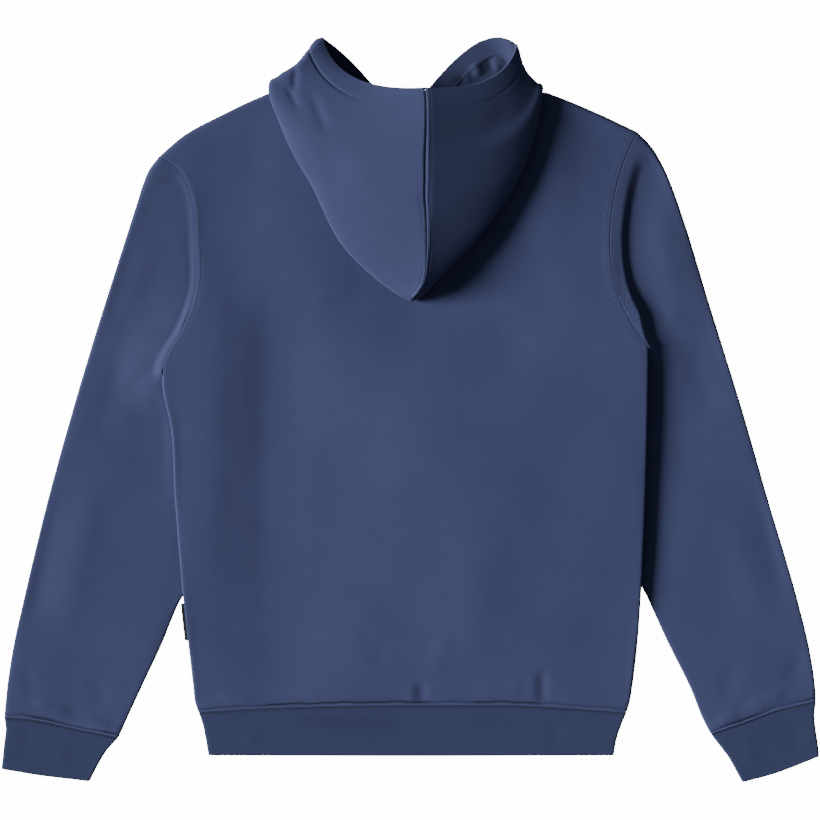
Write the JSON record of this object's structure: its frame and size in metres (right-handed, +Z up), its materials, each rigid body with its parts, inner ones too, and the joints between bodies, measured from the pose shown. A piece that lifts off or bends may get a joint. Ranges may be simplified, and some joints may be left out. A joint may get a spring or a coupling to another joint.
{
  "type": "pullover hoodie, laid flat",
  "caption": "Pullover hoodie of dark blue brushed fleece, laid flat on its front with the hood spread over its back and the sleeves down beside the body.",
  "frame": {"origin": "on the surface that the hoodie lies on, under the middle of its whole outline", "axes": "+Z up off the surface, +Y from the hem towards the hood, +X to the right of someone who looks down on the back"},
  "size_m": [0.8582, 0.7822, 0.0581],
  "materials": {
    "fleece": "matt brushed fleece",
    "rib": "matt ribbed knit",
    "label": "woven tape"
  },
  "bodies": {
    "root": {"back_panel": "fleece", "front_panel": "fleece", "sleeve_left": "fleece", "sleeve_right": "fleece", "hood_left": "fleece", "hood_right": "fleece", "cuff_left": "rib", "cuff_right": "rib", "hem_band": "rib", "side_label": "label"}
  },
  "joints": []
}
